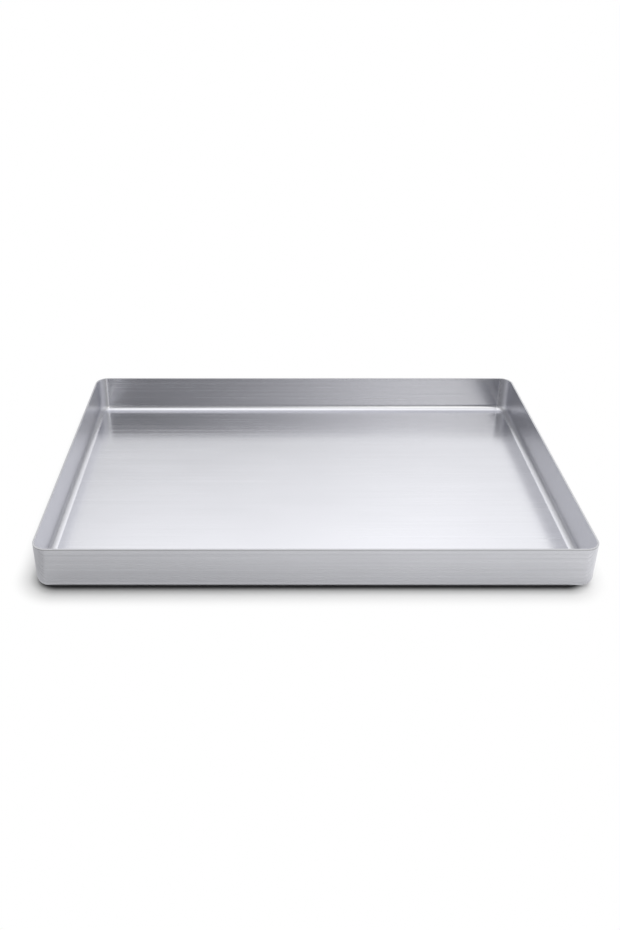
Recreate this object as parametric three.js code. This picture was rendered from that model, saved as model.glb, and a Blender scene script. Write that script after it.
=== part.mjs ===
// A baklava tray: a shallow rectangular pan, pressed from aluminium sheet and trimmed at the rim.
// Millimetres, +Z up, the long side along X. The origin is the middle of the underside.
import * as THREE from "three";

// Driving dimensions
const RIM_LENGTH = 600; // outside, along X, at the rim
const RIM_WIDTH = 400; // outside, along Y, at the rim
const HEIGHT = 52; // underside to the top of the rim
const SHEET = 2; // thickness of the sheet, in the floor and the walls
const RIM_CORNER_RADIUS = 16; // outside of the upright corners, at the rim
const FLOOR_RADIUS = 8; // inside, where the floor turns up into the walls
const WALL_LEAN_DEG = 0.7; // how far the walls lean out, so that trays nest and cakes slip out
const RIM_EDGE_RADIUS = 0.3; // on the two edges of the trimmed rim, so that it doesn't cut
const TIGHTEST_CORNER = 2; // no upright corner is drawn tighter than this, even down at the floor

// How finely the round stretches are divided
const CORNER_STEPS = 12;
const FLOOR_RADIUS_STEPS = 8;
const RIM_EDGE_STEPS = 4;

const brushedAluminium = new THREE.MeshStandardMaterial({
  color: 0xc8c9cd,
  roughness: 0.35,
  metalness: 1,
});

// The sheet's section through a wall, as points (inset from the rim's outside, height): from the underside out
// round the floor's bend, up the outside, over the rim, down the inside and round the bend to the floor.
function sheetSection() {
  const lean = THREE.MathUtils.degToRad(WALL_LEAN_DEG);
  const down = -Math.PI / 2;
  const up = Math.PI / 2;
  const outward = -Math.PI + lean;
  const inward = lean;

  // Both faces of the bend share one centre, which keeps the sheet's thickness round it.
  const outsideRadius = FLOOR_RADIUS + SHEET;
  const bendInset = outsideRadius / Math.cos(lean) + (HEIGHT - outsideRadius) * Math.tan(lean);

  // The rim's edge radii sit in the corners between the level top and the leaning wall faces.
  const edge = Math.min(RIM_EDGE_RADIUS, SHEET / 3);
  const edgeHeight = HEIGHT - edge;
  const edgeReach = edge / Math.cos(lean);
  const wallInset = edge * Math.tan(lean);
  const sheetAcross = SHEET / Math.cos(lean);

  const outside = new THREE.Path();
  outside.absarc(bendInset, outsideRadius, outsideRadius, down, outward, true);
  const rim = new THREE.Path();
  rim.absarc(wallInset + edgeReach, edgeHeight, edge, outward + 2 * Math.PI, up, true);
  rim.absarc(wallInset + sheetAcross - edgeReach, edgeHeight, edge, up, inward, true);
  const inside = new THREE.Path();
  inside.absarc(bendInset, outsideRadius, FLOOR_RADIUS, outward, down, false);

  // A path divides each of its arcs into twice the number that it is given.
  return [
    ...outside.getPoints(FLOOR_RADIUS_STEPS / 2),
    ...rim.getPoints(RIM_EDGE_STEPS / 2),
    ...inside.getPoints(FLOOR_RADIUS_STEPS / 2),
  ];
}

// The tray's outline as seen from above, moved in from the rim's outside by inset, counter-clockwise.
function outlineAt(inset) {
  const radius = Math.max(RIM_CORNER_RADIUS - inset, TIGHTEST_CORNER);
  const x = RIM_LENGTH / 2 - inset - radius;
  const y = RIM_WIDTH / 2 - inset - radius;
  const quarter = Math.PI / 2;
  const outline = new THREE.Path();
  outline.absarc(x, -y, radius, -quarter, 0);
  outline.absarc(x, y, radius, 0, quarter);
  outline.absarc(-x, y, radius, quarter, 2 * quarter);
  outline.absarc(-x, -y, radius, 2 * quarter, 3 * quarter);
  return outline.getPoints(CORNER_STEPS / 2);
}

// The section carried round the outline, closed by the underside and by the floor's upper face.
function panGeometry() {
  const section = sheetSection();
  const rings = section.map((point) => outlineAt(point.x));
  const around = rings[0].length;
  const positions = rings.flatMap((ring, row) => ring.flatMap((p) => [p.x, p.y, section[row].y]));

  const triangles = [];
  for (let row = 0; row + 1 < rings.length; row++) {
    for (let i = 0; i < around; i++) {
      const next = (i + 1) % around;
      const below = row * around;
      const above = below + around;
      triangles.push(below + i, below + next, above + next);
      triangles.push(below + i, above + next, above + i);
    }
  }
  const floorStart = (rings.length - 1) * around;
  for (const [a, b, c] of THREE.ShapeUtils.triangulateShape(rings[0], [])) {
    triangles.push(c, b, a);
  }
  for (const [a, b, c] of THREE.ShapeUtils.triangulateShape(rings.at(-1), [])) {
    triangles.push(floorStart + a, floorStart + b, floorStart + c);
  }

  const geometry = new THREE.BufferGeometry();
  geometry.setAttribute("position", new THREE.Float32BufferAttribute(positions, 3));
  geometry.setIndex(triangles);
  geometry.computeVertexNormals();
  return geometry;
}

const tray = new THREE.Group();
const pan = new THREE.Mesh(panGeometry(), brushedAluminium);
pan.name = "pan";
tray.add(pan);

export default tray;
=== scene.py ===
"""The looks of a pressed baklava tray: one brushed aluminium sheet, on a white studio floor."""

import math

import bmesh
import bpy
from bpy.props import FloatProperty, FloatVectorProperty, IntProperty, PointerProperty
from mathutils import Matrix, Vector


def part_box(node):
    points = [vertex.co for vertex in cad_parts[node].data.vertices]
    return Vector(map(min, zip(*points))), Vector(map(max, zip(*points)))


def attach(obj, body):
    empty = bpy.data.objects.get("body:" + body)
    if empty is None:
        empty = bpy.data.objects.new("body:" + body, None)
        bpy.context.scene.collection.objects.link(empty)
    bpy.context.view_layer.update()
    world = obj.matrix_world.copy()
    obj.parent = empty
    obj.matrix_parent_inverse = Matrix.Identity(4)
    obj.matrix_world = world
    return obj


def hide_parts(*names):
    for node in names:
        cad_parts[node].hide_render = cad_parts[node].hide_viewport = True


bl_info = {
    "name": "Baklava tray",
    "version": (1, 0, 0),
    "blender": (4, 5, 0),
    "location": "View3D > Sidebar > Tray",
    "description": "Presses a brushed aluminium baklava tray and sets it on a white studio floor",
    "category": "Add Mesh",
}

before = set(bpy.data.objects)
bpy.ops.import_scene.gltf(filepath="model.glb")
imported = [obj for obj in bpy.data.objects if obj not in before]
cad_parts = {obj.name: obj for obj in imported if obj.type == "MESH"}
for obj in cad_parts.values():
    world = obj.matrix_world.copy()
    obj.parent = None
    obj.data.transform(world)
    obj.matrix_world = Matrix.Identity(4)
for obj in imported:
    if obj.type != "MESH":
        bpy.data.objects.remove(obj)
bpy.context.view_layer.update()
PAN_LOW, PAN_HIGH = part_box("pan")

# The sheet's own coordinates, as it lay flat before it was pressed, are kept on the mesh under this name.
FLAT_SHEET = "flat_sheet"

# How strongly each kind of mark shows in the metal's tone: full strength is a swing from groove to crest.
LINE_SHOW = 0.4
STREAK_SHOW = 1.0
FLOOR_SHOW = 0.25
CLOUD_SHOW = 0.3
# The long inner bends are lightened as a painted highlight.
BEND_HIGHLIGHT_SHOW = 0.55

# How much the broad marks swing the roughness.
STREAK_ROUGHNESS = 0.15
CLOUD_ROUGHNESS = 0.06

# Depths below the top of the rim: the bare cut edge, and where the dark line painted on the outside, a
# painted reflection, starts to fade and ends.
CUT_DEPTH = 0.0002
DARK_LINE_FADE = 0.0010
DARK_LINE_DEPTH = 0.0016

# The studio floor lies this far below the underside, so that the two faces don't share a plane.
FLOOR_GAP = 0.0001
FLOOR_SIDES = 128

# The contact shadow, measured out from its outline: its dark line, and the reach and tone of the soft shade.
DARK_FROM = -0.0044
DARK_TO = 0.0038
SHADE_REACH = 0.012
SHADE_TONE = 0.66


class PanShape(bpy.types.PropertyGroup):
    """The pressed sheet's sizes."""

    length: FloatProperty(
        name="Length",
        description="Outside length at the rim, along X",
        default=PAN_HIGH.x - PAN_LOW.x,
        unit="LENGTH",
    )
    width: FloatProperty(
        name="Width",
        description="Outside width at the rim, along Y",
        default=PAN_HIGH.y - PAN_LOW.y,
        unit="LENGTH",
    )
    height: FloatProperty(
        name="Height",
        description="From the underside to the top of the rim",
        default=PAN_HIGH.z - PAN_LOW.z,
        unit="LENGTH",
    )
    sheet: FloatProperty(
        name="Sheet",
        description="Thickness of the sheet",
        default=0.002,
        unit="LENGTH",
    )
    corner_radius: FloatProperty(
        name="Corner radius",
        description="Outside of the upright corners, at the rim",
        default=0.016,
        unit="LENGTH",
    )
    floor_radius: FloatProperty(
        name="Floor radius",
        description="Inside, where the floor turns up into the walls",
        default=0.008,
        unit="LENGTH",
    )
    lean: FloatProperty(
        name="Wall lean",
        description="How far the walls lean out from upright",
        default=math.radians(0.7),
        subtype="ANGLE",
    )
    edge_radius: FloatProperty(
        name="Rim edge radius",
        description="On the two edges of the trimmed rim",
        default=0.0003,
        unit="LENGTH",
    )
    corner_steps: IntProperty(
        name="Corner steps",
        description="Faces round each upright corner",
        default=32,
        min=2,
    )
    bend_steps: IntProperty(
        name="Bend steps",
        description="Faces round the bend at the floor",
        default=24,
        min=2,
    )
    edge_steps: IntProperty(
        name="Edge steps",
        description="Faces round each edge of the rim",
        default=6,
        min=2,
    )


class BrushedFinish(bpy.types.PropertyGroup):
    """The brushed aluminium's colours and the sizes of its brush marks."""

    crest: FloatVectorProperty(
        name="Crests",
        description="Colour of the metal between the brush marks",
        default=(0.715, 0.719, 0.757),
        size=3,
        subtype="COLOR",
    )
    groove: FloatVectorProperty(
        name="Grooves",
        description="Colour of the metal down in the brush marks",
        default=(0.506, 0.509, 0.539),
        size=3,
        subtype="COLOR",
    )
    trimmed: FloatVectorProperty(
        name="Trimmed rim",
        description="Colour of the bare cut edge along the rim",
        default=(0.50, 0.503, 0.523),
        size=3,
        subtype="COLOR",
    )
    # Colour of a dark line painted under the rim's outside edge: a painted reflection.
    painted_dark: FloatVectorProperty(
        name="Deburred line",
        description="Colour of the dull line where the rim was deburred on the outside",
        default=(0.42, 0.423, 0.44),
        size=3,
        subtype="COLOR",
    )
    floor_roughness: FloatProperty(
        name="Floor roughness",
        description="Mean roughness of the floor and the underside",
        default=0.22,
        subtype="FACTOR",
    )
    wall_roughness: FloatProperty(
        name="Wall roughness",
        description="Mean roughness of the long walls, which the brush runs along",
        default=0.22,
        subtype="FACTOR",
    )
    end_roughness: FloatProperty(
        name="End roughness",
        description="Mean roughness of the end walls and their bends, which the brush runs up and down",
        default=0.34,
        subtype="FACTOR",
    )
    roughness_spread: FloatProperty(
        name="Roughness spread",
        description="How much rougher the grooves are than the mean, and the crests smoother",
        default=0.07,
        subtype="FACTOR",
    )
    trimmed_roughness: FloatProperty(
        name="Trimmed rim roughness",
        description="Roughness of the bare cut edge along the rim",
        default=0.34,
        subtype="FACTOR",
    )
    line_width: FloatProperty(
        name="Line width",
        description="Across a fine brush line",
        default=0.0004,
        unit="LENGTH",
    )
    line_length: FloatProperty(
        name="Line length",
        description="Along a fine brush line",
        default=0.45,
        unit="LENGTH",
    )
    line_depth: FloatProperty(
        name="Line depth",
        description="Depth of the fine brush lines",
        default=0.0000015,
        precision=7,
        unit="LENGTH",
    )
    streak_width: FloatProperty(
        name="Streak width",
        description="Across a broad streak, left where the brush pressed harder",
        default=0.0035,
        unit="LENGTH",
    )
    streak_length: FloatProperty(
        name="Streak length",
        description="Along a broad streak",
        default=0.90,
        unit="LENGTH",
    )
    cloud_size: FloatProperty(
        name="Cloud size",
        description="Across the faint clouds that handling leaves",
        default=0.09,
        unit="LENGTH",
    )


class WhiteStudio(bpy.types.PropertyGroup):
    """The floor, the light from all round and the camera."""

    floor_radius: FloatProperty(
        name="Floor radius",
        description="Radius of the round studio floor",
        default=30.0,
        unit="LENGTH",
    )
    floor_left: FloatVectorProperty(
        name="Floor at the left",
        description="Colour of the floor close to the tray, on the side away from the light",
        default=(0.74, 0.74, 0.74),
        size=3,
        subtype="COLOR",
    )
    floor_right: FloatVectorProperty(
        name="Floor at the right",
        description="Colour of the floor close to the tray, on the side towards the light",
        default=(0.955, 0.955, 0.955),
        size=3,
        subtype="COLOR",
    )
    # Painted shade, seen only in what the metal mirrors.
    floor_beside: FloatVectorProperty(
        name="Floor beside",
        description="Colour of the floor beyond the tray's left end, as the metal mirrors it",
        default=(0.58, 0.58, 0.58),
        size=3,
        subtype="COLOR",
    )
    shadow: FloatVectorProperty(
        name="Contact shadow",
        description="Colour of the floor down in the contact shadow",
        default=(0.055, 0.055, 0.057),
        size=3,
        subtype="COLOR",
    )
    shadow_corner: FloatProperty(
        name="Shadow corner",
        description="Corner radius of the contact shadow's outline",
        default=0.024,
        unit="LENGTH",
    )
    shadow_inset: FloatProperty(
        name="Shadow inset",
        description="How far the contact shadow stops short of the rim at each end",
        default=0.004,
        unit="LENGTH",
    )
    shadow_shift: FloatProperty(
        name="Shadow shift",
        description="How far the contact shadow lies to the left of the tray, away from the light",
        default=0.004,
        unit="LENGTH",
    )
    floor_fade: FloatProperty(
        name="Floor fade",
        description="Distance from the tray over which the floor turns plain white",
        default=0.030,
        unit="LENGTH",
    )
    mirror_fade: FloatProperty(
        name="Mirrored floor fade",
        description="The same distance, in what the metal mirrors",
        default=0.35,
        unit="LENGTH",
    )
    softbox: FloatProperty(
        name="Softbox",
        description="Brightness of the soft boxes, out towards their edges",
        default=1.75,
    )
    overhead: FloatProperty(
        name="Overhead",
        description="Brightness of the soft boxes straight overhead",
        default=1.44,
    )
    left: FloatProperty(
        name="Left wall",
        description="Brightness of the studio at the left of the soft boxes",
        default=0.54,
    )
    right: FloatProperty(
        name="Right wall",
        description="Brightness of the studio at the right of the soft boxes",
        default=0.88,
    )
    gap: FloatProperty(
        name="Backdrop gap",
        description="Brightness of the gaps beside the backdrop, as the metal mirrors them",
        default=0.45,
    )
    front_left: FloatProperty(
        name="Front left",
        description="Brightness of the studio before the tray, at its left",
        default=0.36,
    )
    front_right: FloatProperty(
        name="Front right",
        description="Brightness of the studio before the tray, at its right",
        default=1.9,
    )
    front_warmth: FloatVectorProperty(
        name="Front warmth",
        description="Tint of the light before the tray, at its right",
        default=(1.0, 0.992, 0.94),
        size=3,
        subtype="COLOR",
    )
    camera_place: FloatVectorProperty(
        name="Camera place",
        description="Where the camera stands",
        default=(-0.0460, -0.9470, 0.6267),
        size=3,
        subtype="TRANSLATION",
    )
    camera_pitch: FloatProperty(
        name="Camera pitch",
        description="How far the camera looks down from level",
        default=math.radians(24.775),
        subtype="ANGLE",
    )
    lens: FloatProperty(
        name="Lens",
        description="Focal length on a 36 mm frame",
        default=34.09,
        unit="CAMERA",
    )
    shift: FloatVectorProperty(
        name="Lens shift",
        description="Right and up, as a share of the picture's long side",
        default=(0.0407, -0.1239),
        size=2,
    )


class Wire:
    """A node's output. Arithmetic on it adds the Math nodes that work it out."""

    def __init__(self, tree, output=None):
        self.tree = tree
        self.output = output

    def node(self, kind, settings=None, sockets=None, out=0):
        """Adds a node, its settings first, then the values or links of its sockets, and gives one output."""
        made = self.tree.nodes.new(kind)
        for name, value in (settings or {}).items():
            setattr(made, name, value)
        for key, value in (sockets or {}).items():
            if isinstance(value, Wire):
                self.tree.links.new(value.output, made.inputs[key])
            else:
                made.inputs[key].default_value = value
        return Wire(self.tree, made.outputs[out] if made.outputs else None)

    def maths(self, operation, *values):
        """Adds a Math node on these values."""
        return self.node("ShaderNodeMath", {"operation": operation}, dict(enumerate(values)))

    def vector(self, operation, *values, out=0):
        """Adds a Vector Math node on these values. Its length and the like come out of output 1."""
        return self.node("ShaderNodeVectorMath", {"operation": operation}, dict(enumerate(values)), out)

    def __add__(self, other):
        return self.maths("ADD", self, other)

    def __radd__(self, other):
        return self.maths("ADD", other, self)

    def __sub__(self, other):
        return self.maths("SUBTRACT", self, other)

    def __rsub__(self, other):
        return self.maths("SUBTRACT", other, self)

    def __mul__(self, other):
        return self.maths("MULTIPLY", self, other)

    def __rmul__(self, other):
        return self.maths("MULTIPLY", other, self)

    def __abs__(self):
        return self.maths("ABSOLUTE", self)

    def ease(self, start, end):
        """Rises smoothly from 0 at start to 1 at end."""
        return self.node(
            "ShaderNodeMapRange",
            {"interpolation_type": "SMOOTHSTEP"},
            {"Value": self, "From Min": start, "From Max": end},
        )

    def between(self, low, high):
        """The number from low to high that this share stands for."""
        return low + (high - low) * self

    def tint(self, low, high):
        """The colour from low to high that this share stands for."""
        ends = [colour if isinstance(colour, Wire) else (*colour, 1.0) for colour in (low, high)]
        return self.node("ShaderNodeMix", {"data_type": "RGBA"}, {0: self, 6: ends[0], 7: ends[1]}, out=2)

    def rays_seen(self):
        """Which rays look at what they meet: the camera's, and those that metal or glass hand on."""
        rays = self.node("ShaderNodeLightPath").output.node.outputs
        camera, glossy, through = (
            Wire(self.tree, rays[name]) for name in ("Is Camera Ray", "Is Glossy Ray", "Is Transmission Ray")
        )
        return camera, self.maths("MAXIMUM", glossy, through)

    def parts(self):
        """The X, Y and Z of a vector."""
        split = self.node("ShaderNodeSeparateXYZ", None, {0: self}).output.node
        return [Wire(self.tree, output) for output in split.outputs]


def new_material(name):
    """An empty node material and the wire that its nodes are added through."""
    material = bpy.data.materials.new(name)
    material.use_nodes = True
    material.node_tree.nodes.clear()
    return material, Wire(material.node_tree)


def brush_marks(sheet, length, width, detail):
    """Long thin marks along the flat sheet's X, from 0 to 1."""
    stretched = sheet.vector("MULTIPLY", sheet, (1.0 / length, 1.0 / width, 1.0))
    sockets = {"Vector": stretched, "Scale": 1.0, "Detail": detail, "Roughness": 0.6}
    return sheet.node("ShaderNodeTexNoise", None, sockets)


def brushed_aluminium(finish, shape):
    """Satin aluminium with fine lines and broad streaks along the sheet, faint clouds and a bare cut rim."""
    material, wire = new_material("brushed_aluminium")
    sheet = wire.node("ShaderNodeAttribute", {"attribute_name": FLAT_SHEET}, out=1)
    lines = brush_marks(sheet, finish.line_length, finish.line_width, 2.0)
    streaks = brush_marks(sheet, finish.streak_length, finish.streak_width, 3.0)
    clouds = brush_marks(sheet, 2.0 * finish.cloud_size, finish.cloud_size, 2.0)

    # Which way the face looks tells the walls, the end walls and the bends from the floor.
    to_end, _, level = wire.node("ShaderNodeNewGeometry", out=1).parts()
    to_end = abs(to_end)
    upright = 1.0 - abs(level).ease(0.3, 0.8)
    ends = to_end.ease(0.4, 0.9)
    outside = 1.0 - sheet.parts()[2]
    # Painted highlight: the long inner bends near the floor are picked out to be lightened.
    bend_highlight = (1.0 - outside) * level.ease(0.7, 0.9) * (0.9995 - level).ease(0.0, 0.012)
    bend_highlight = bend_highlight * (0.25 - to_end).ease(0.0, 0.2)

    # The marks show best on the outside of the long walls, and the long inner bends get a painted highlight.
    clear = outside.between(0.5, 1.0) * ends.between(1.0, 0.5)
    # The end walls get a lighter tone than the long walls: painted light.
    tone = ends.between(0.5, 0.95)
    tone = tone + upright.between(FLOOR_SHOW, LINE_SHOW * clear) * (lines - 0.5)
    tone = tone + upright.between(FLOOR_SHOW, STREAK_SHOW * clear) * (streaks - 0.5)
    tone = tone + CLOUD_SHOW * (clouds - 0.5) + BEND_HIGHLIGHT_SHOW * bend_highlight

    # The grooves are rougher than the crests.
    rough = upright.between(finish.floor_roughness, finish.wall_roughness)
    rough = to_end.ease(0.05, 0.5).between(rough, finish.end_roughness)
    spread = upright.between(0.5 * finish.roughness_spread, clear * finish.roughness_spread)
    rough = rough + spread * lines.ease(0.35, 0.65).between(1.0, -1.0)
    rough = rough + STREAK_ROUGHNESS * (streaks - 0.5) + CLOUD_ROUGHNESS * (clouds - 0.5)

    height = wire.node("ShaderNodeTexCoord", out=3).parts()[2]
    cut = height.ease(shape.height - CUT_DEPTH, shape.height - 0.1 * CUT_DEPTH)
    # A dark line painted on the outside just under the rim: a painted reflection of its edge.
    painted_dark = height.ease(shape.height - DARK_LINE_DEPTH, shape.height - DARK_LINE_FADE)
    painted_dark = outside * painted_dark * (1.0 - ends)
    colour = tone.tint(finish.groove, finish.crest)
    colour = painted_dark.tint(colour, finish.painted_dark)
    relief = wire.node("ShaderNodeBump", None, {"Distance": finish.line_depth, "Height": lines})
    metal = wire.node(
        "ShaderNodeBsdfPrincipled",
        None,
        {
            "Base Color": cut.tint(colour, finish.trimmed),
            "Metallic": 1.0,
            "Roughness": cut.between(rough, finish.trimmed_roughness),
            "Normal": relief,
        },
    )
    wire.node("ShaderNodeOutputMaterial", None, {"Surface": metal})
    return material


def arc(centre, radius, start, end, steps, side):
    """An arc of the sheet's section, as points with the way that the metal's face looks there.
    The face looks away from the centre where side is 1, and towards it where side is -1."""
    points = []
    for step in range(steps + 1):
        angle = start + (end - start) * step / steps
        way = Vector((math.cos(angle), math.sin(angle)))
        points.append((centre + radius * way, side * way))
    return points


def sheet_section(shape):
    """The sheet's section through a wall, as points (inset from the rim's outside, height) and their ways:
    from the underside out round the bend, up the outside, over the rim, down the inside and to the floor."""
    down = -0.5 * math.pi
    up = 0.5 * math.pi
    outward = shape.lean - math.pi
    inward = shape.lean
    across = 1.0 / math.cos(shape.lean)
    slope = math.tan(shape.lean)

    outside_radius = shape.floor_radius + shape.sheet
    bend_inset = outside_radius * across + (shape.height - outside_radius) * slope
    bend = Vector((bend_inset, outside_radius))

    edge = min(shape.edge_radius, shape.sheet / 3.0)
    outer_edge = Vector((edge * (slope + across), shape.height - edge))
    inner_edge = outer_edge + Vector(((shape.sheet - 2.0 * edge) * across, 0.0))

    return [
        *arc(bend, outside_radius, down, outward, shape.bend_steps, 1.0),
        *arc(outer_edge, edge, outward + 2.0 * math.pi, up, shape.edge_steps, 1.0),
        *arc(inner_edge, edge, up, inward, shape.edge_steps, 1.0),
        *arc(bend, shape.floor_radius, outward, down, shape.bend_steps, -1.0),
    ]


def rim_outline(shape):
    """The rim's outline from above, counter-clockwise, as corner centres and the ways out from them."""
    x = 0.5 * shape.length - shape.corner_radius
    y = 0.5 * shape.width - shape.corner_radius
    outline = []
    for corner, centre in enumerate(((x, -y), (x, y), (-x, y), (-x, -y))):
        for step in range(shape.corner_steps + 1):
            angle = (corner - 1 + step / shape.corner_steps) * 0.5 * math.pi
            outline.append((Vector(centre), Vector((math.cos(angle), math.sin(angle)))))
    return outline


def reaches(section):
    """How far along the sheet each point of the section lies from the flat floor, on its own face."""
    along = [0.0]
    for (here, _), (there, _) in zip(section, section[1:]):
        along.append(along[-1] + (there - here).length)
    return [min(distance, along[-1] - distance) for distance in along]


def pressed_sheet(shape):
    """The pan's mesh: the section carried round the outline, closed by the underside and the floor."""
    section = sheet_section(shape)
    outline = rim_outline(shape)
    around = len(outline)
    floor_corner = shape.corner_radius - section[0][0].x

    points, normals, flat = [], [], []
    for row, ((place, way), reach) in enumerate(zip(section, reaches(section))):
        face = 0.0 if row < len(section) // 2 else 1.0
        for centre, out in outline:
            points.append((centre + (shape.corner_radius - place.x) * out).to_3d() + Vector((0, 0, place.y)))
            normals.append((-way.x * out).to_3d() + Vector((0, 0, way.y)))
            flat.append((centre + (floor_corner + reach) * out).to_3d() + Vector((0, 0, face)))

    faces = []
    for row in range(len(section) - 1):
        for i in range(around):
            j = (i + 1) % around
            low, high = row * around, (row + 1) * around
            faces.append((low + i, low + j, high + j, high + i))
    faces.append(tuple(reversed(range(around))))
    faces.append(tuple(range(len(points) - around, len(points))))

    mesh = bpy.data.meshes.new("pan_sheet")
    mesh.from_pydata(points, [], faces)
    mesh.shade_smooth()
    mesh.normals_split_custom_set_from_vertices(normals)
    sheet = mesh.attributes.new(FLAT_SHEET, "FLOAT_VECTOR", "POINT")
    sheet.data.foreach_set("vector", [number for place in flat for number in place])
    return mesh


def add_object(name, mesh, material):
    """A new object in the scene, of this mesh and material."""
    mesh.materials.append(material)
    made = bpy.data.objects.new(name, mesh)
    bpy.context.scene.collection.objects.link(made)
    return made


class TRAY_OT_press_pan(bpy.types.Operator):
    """Press the pan from brushed sheet, in place of the plain solid"""

    bl_idname = "tray.press_pan"
    bl_label = "Press the pan"

    def execute(self, context):
        scene = context.scene
        metal = brushed_aluminium(scene.tray_finish, scene.tray_shape)
        pan = add_object("pan_brushed", pressed_sheet(scene.tray_shape), metal)
        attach(pan, "root")
        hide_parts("pan")
        return {"FINISHED"}


def floor_material(studio, shape):
    """A matt floor near the tray, which turns plain white away from it, in mirrored views as well."""
    material, wire = new_material("studio_floor")
    place = wire.node("ShaderNodeTexCoord", out=3)
    corner = studio.shadow_corner
    centre = (0.5 * shape.length - studio.shadow_inset - corner, 0.5 * shape.width - corner, 1.0)
    shifted = wire.vector("ADD", place, (studio.shadow_shift, 0.0, 0.0))
    beyond = wire.vector("SUBTRACT", wire.vector("ABSOLUTE", shifted), centre)
    distance = wire.vector("LENGTH", wire.vector("MAXIMUM", beyond, (0.0, 0.0, 0.0)), out=1) - corner

    # The matt floor, from the shaded side to the side towards the light, and dark where the tray touches it.
    camera, mirrored = wire.rays_seen()
    along = place.parts()[0]
    end = 0.5 * shape.length
    near = along.ease(-end - 0.05, 0.5 * end).tint(studio.floor_left, studio.floor_right)
    # Painted shade: beyond the tray's left end the floor is darker in what the metal mirrors.
    beside = mirrored * (0.0 - along).ease(end - 0.005, end + 0.025)
    near = beside.tint(near, studio.floor_beside)
    contact = distance.ease(DARK_FROM, DARK_TO) * distance.ease(0.0, SHADE_REACH).between(SHADE_TONE, 1.0)
    clear = distance.ease(-0.002, 0.0005)
    open_floor = wire.maths("MAXIMUM", mirrored * clear.between(0.8, 1.0), contact)
    shaded = open_floor.tint(studio.shadow, near)
    dull = {"Base Color": shaded, "Roughness": 1.0, "Specular IOR Level": 0.0}
    matt = wire.node("ShaderNodeBsdfPrincipled", None, dull)

    # Away from the tray the floor is plain white, to the camera and, more slowly, in what the metal mirrors.
    straight = camera * distance.ease(0.0, studio.floor_fade)
    # Painted light: in what the metal mirrors, the floor also glows white at the tray's foot and beyond its
    # right end.
    painted_foot_light = 0.4 * clear * (SHADE_REACH - distance).ease(0.0, SHADE_REACH)
    painted_right_light = 0.95 * along.ease(end - 0.005, end + 0.035)
    bounced = mirrored * (distance.ease(0.0, studio.mirror_fade) + painted_right_light + painted_foot_light)
    white_share = wire.maths("MAXIMUM", straight, bounced)
    white = wire.node("ShaderNodeEmission", None, {"Color": (1.0, 1.0, 1.0, 1.0), "Strength": 1.0})
    surface = wire.node("ShaderNodeMixShader", None, {0: white_share, 1: matt, 2: white})
    wire.node("ShaderNodeOutputMaterial", None, {"Surface": surface})
    return material


def studio_floor(studio, shape):
    """A large round floor under the tray, a hair below its underside."""
    made = bmesh.new()
    bmesh.ops.create_circle(made, cap_ends=True, segments=FLOOR_SIDES, radius=studio.floor_radius)
    mesh = bpy.data.meshes.new("studio_floor")
    made.to_mesh(mesh)
    made.free()
    floor = add_object("studio_floor", mesh, floor_material(studio, shape))
    floor.location.z = -FLOOR_GAP
    return floor


def soft_boxes(x, y):
    """How far the soft boxes fill the sky at a direction's x and y: a large one, and one at each side."""
    left_edge = 0.295 + 0.03 * (0.86 - y).ease(0.0, 0.07)
    large = (left_edge + x).ease(0.0, 0.17) * (0.46 - x).ease(0.0, 0.33)
    sides = (0.48 - abs(x)).ease(0.0, 0.14) * abs(x).ease(0.22, 0.29)
    sides = sides * x.ease(-0.2, 0.2).between(1.0, 0.7)
    near_edge = y.ease(-0.68, -0.58)
    far_edge = (0.925 + 0.08 * x - y).ease(0.0, 0.20)
    return x.maths("MAXIMUM", large, sides) * near_edge * far_edge


def front_light(studio, x, y):
    """Brightness before the tray: bright at the right, faintly lit at the left and dim along the horizon."""
    right = x.ease(-0.11, 0.27) * (0.27 - x).ease(0.0, 0.04).between(0.2, 1.0)
    left = 0.08 * (-0.2 - x).ease(0.0, 0.06) * (x + 0.42).ease(0.0, 0.06)
    higher = (y + 0.875).ease(0.0, 0.04).between(1.0, 1.35)
    horizon = (0.965 + y).ease(0.0, 0.05).between(0.55, 1.0)
    lit = (right + left) * higher
    return lit.between(studio.front_left, studio.front_right) * horizon


def studio_light(studio):
    """Light from all round: soft boxes overhead in a studio that brightens to the right.
    The white backdrop along the horizon is only looked at, and lights nothing."""
    world = bpy.data.worlds.new("white_studio")
    world.use_nodes = True
    world.node_tree.nodes.clear()
    wire = Wire(world.node_tree)
    x, y, z = wire.node("ShaderNodeTexCoord", out=0).parts()

    walls = x.ease(-0.7, 0.7).between(studio.left, studio.right)
    panel = z.ease(0.6, 0.9).between(studio.softbox, studio.overhead)
    room = soft_boxes(x, y).between(walls, panel)
    facing = (0.0 - y).ease(0.58, 0.68)
    room = facing.between(room, front_light(studio, x, y))

    camera, mirrored = wire.rays_seen()
    low = (0.42 - z).ease(0.0, 0.08)
    backdrop = low * camera
    gaps = abs(x).ease(0.48, 0.58) * (0.9 - abs(x)).ease(0.0, 0.15) * (0.30 - z).ease(0.0, 0.08)
    behind = low * mirrored * y.ease(-0.6, -0.3)
    light = behind.between(room, gaps.between(1.0, studio.gap))
    light = backdrop.between(light, 1.0)
    warm = facing * x.ease(-0.1, 0.28) * (1.0 - backdrop)
    colour = warm.tint((1.0, 1.0, 1.0), studio.front_warmth)

    glow = wire.node("ShaderNodeBackground", None, {"Color": colour, "Strength": light})
    wire.node("ShaderNodeOutputWorld", None, {"Surface": glow})
    return world


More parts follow.
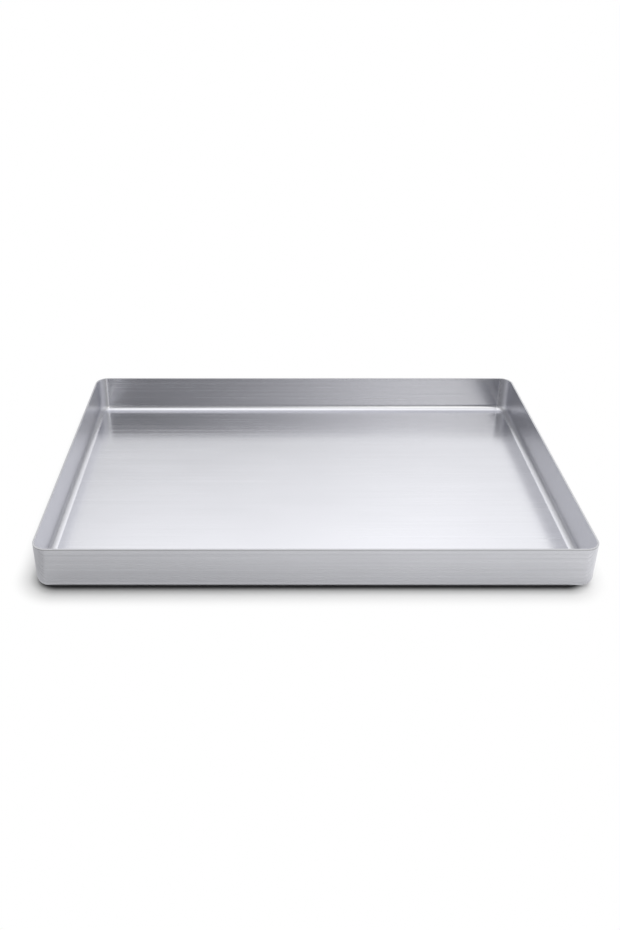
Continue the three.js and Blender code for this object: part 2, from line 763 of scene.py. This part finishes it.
def studio_camera(studio):
    """The camera that the photograph was taken with, as its lines of perspective give it."""
    data = bpy.data.cameras.new("studio_camera")
    data.lens = studio.lens
    data.shift_x, data.shift_y = studio.shift
    camera = bpy.data.objects.new("studio_camera", data)
    camera.location = studio.camera_place
    camera.rotation_euler = (0.5 * math.pi - studio.camera_pitch, 0.0, 0.0)
    bpy.context.scene.collection.objects.link(camera)
    return camera


class TRAY_OT_set_stage(bpy.types.Operator):
    """Set up the white floor, the studio light and the camera"""

    bl_idname = "tray.set_stage"
    bl_label = "Set the stage"

    def execute(self, context):
        scene = context.scene
        studio_floor(scene.tray_studio, scene.tray_shape)
        scene.world = studio_light(scene.tray_studio)
        scene.camera = studio_camera(scene.tray_studio)
        scene.view_settings.view_transform = "Standard"
        return {"FINISHED"}


class TRAY_PT_workbench(bpy.types.Panel):
    """The tray's sizes, finish and stage, and the steps that make them"""

    bl_label = "Baklava tray"
    bl_space_type = "VIEW_3D"
    bl_region_type = "UI"
    bl_category = "Tray"

    def draw(self, context):
        scene = context.scene
        steps = (
            (scene.tray_shape, None),
            (scene.tray_finish, "tray.press_pan"),
            (scene.tray_studio, "tray.set_stage"),
        )
        for settings, operator in steps:
            box = self.layout.box()
            for name in settings.__annotations__:
                box.prop(settings, name)
            if operator:
                box.operator(operator)


CLASSES = (
    PanShape,
    BrushedFinish,
    WhiteStudio,
    TRAY_OT_press_pan,
    TRAY_OT_set_stage,
    TRAY_PT_workbench,
)


def register():
    for made in CLASSES:
        bpy.utils.register_class(made)
    bpy.types.Scene.tray_shape = PointerProperty(type=PanShape)
    bpy.types.Scene.tray_finish = PointerProperty(type=BrushedFinish)
    bpy.types.Scene.tray_studio = PointerProperty(type=WhiteStudio)


def unregister():
    del bpy.types.Scene.tray_studio
    del bpy.types.Scene.tray_finish
    del bpy.types.Scene.tray_shape
    for made in reversed(CLASSES):
        bpy.utils.unregister_class(made)


def main():
    register()
    bpy.ops.tray.press_pan()
    bpy.ops.tray.set_stage()


if __name__ == "__main__":
    main()
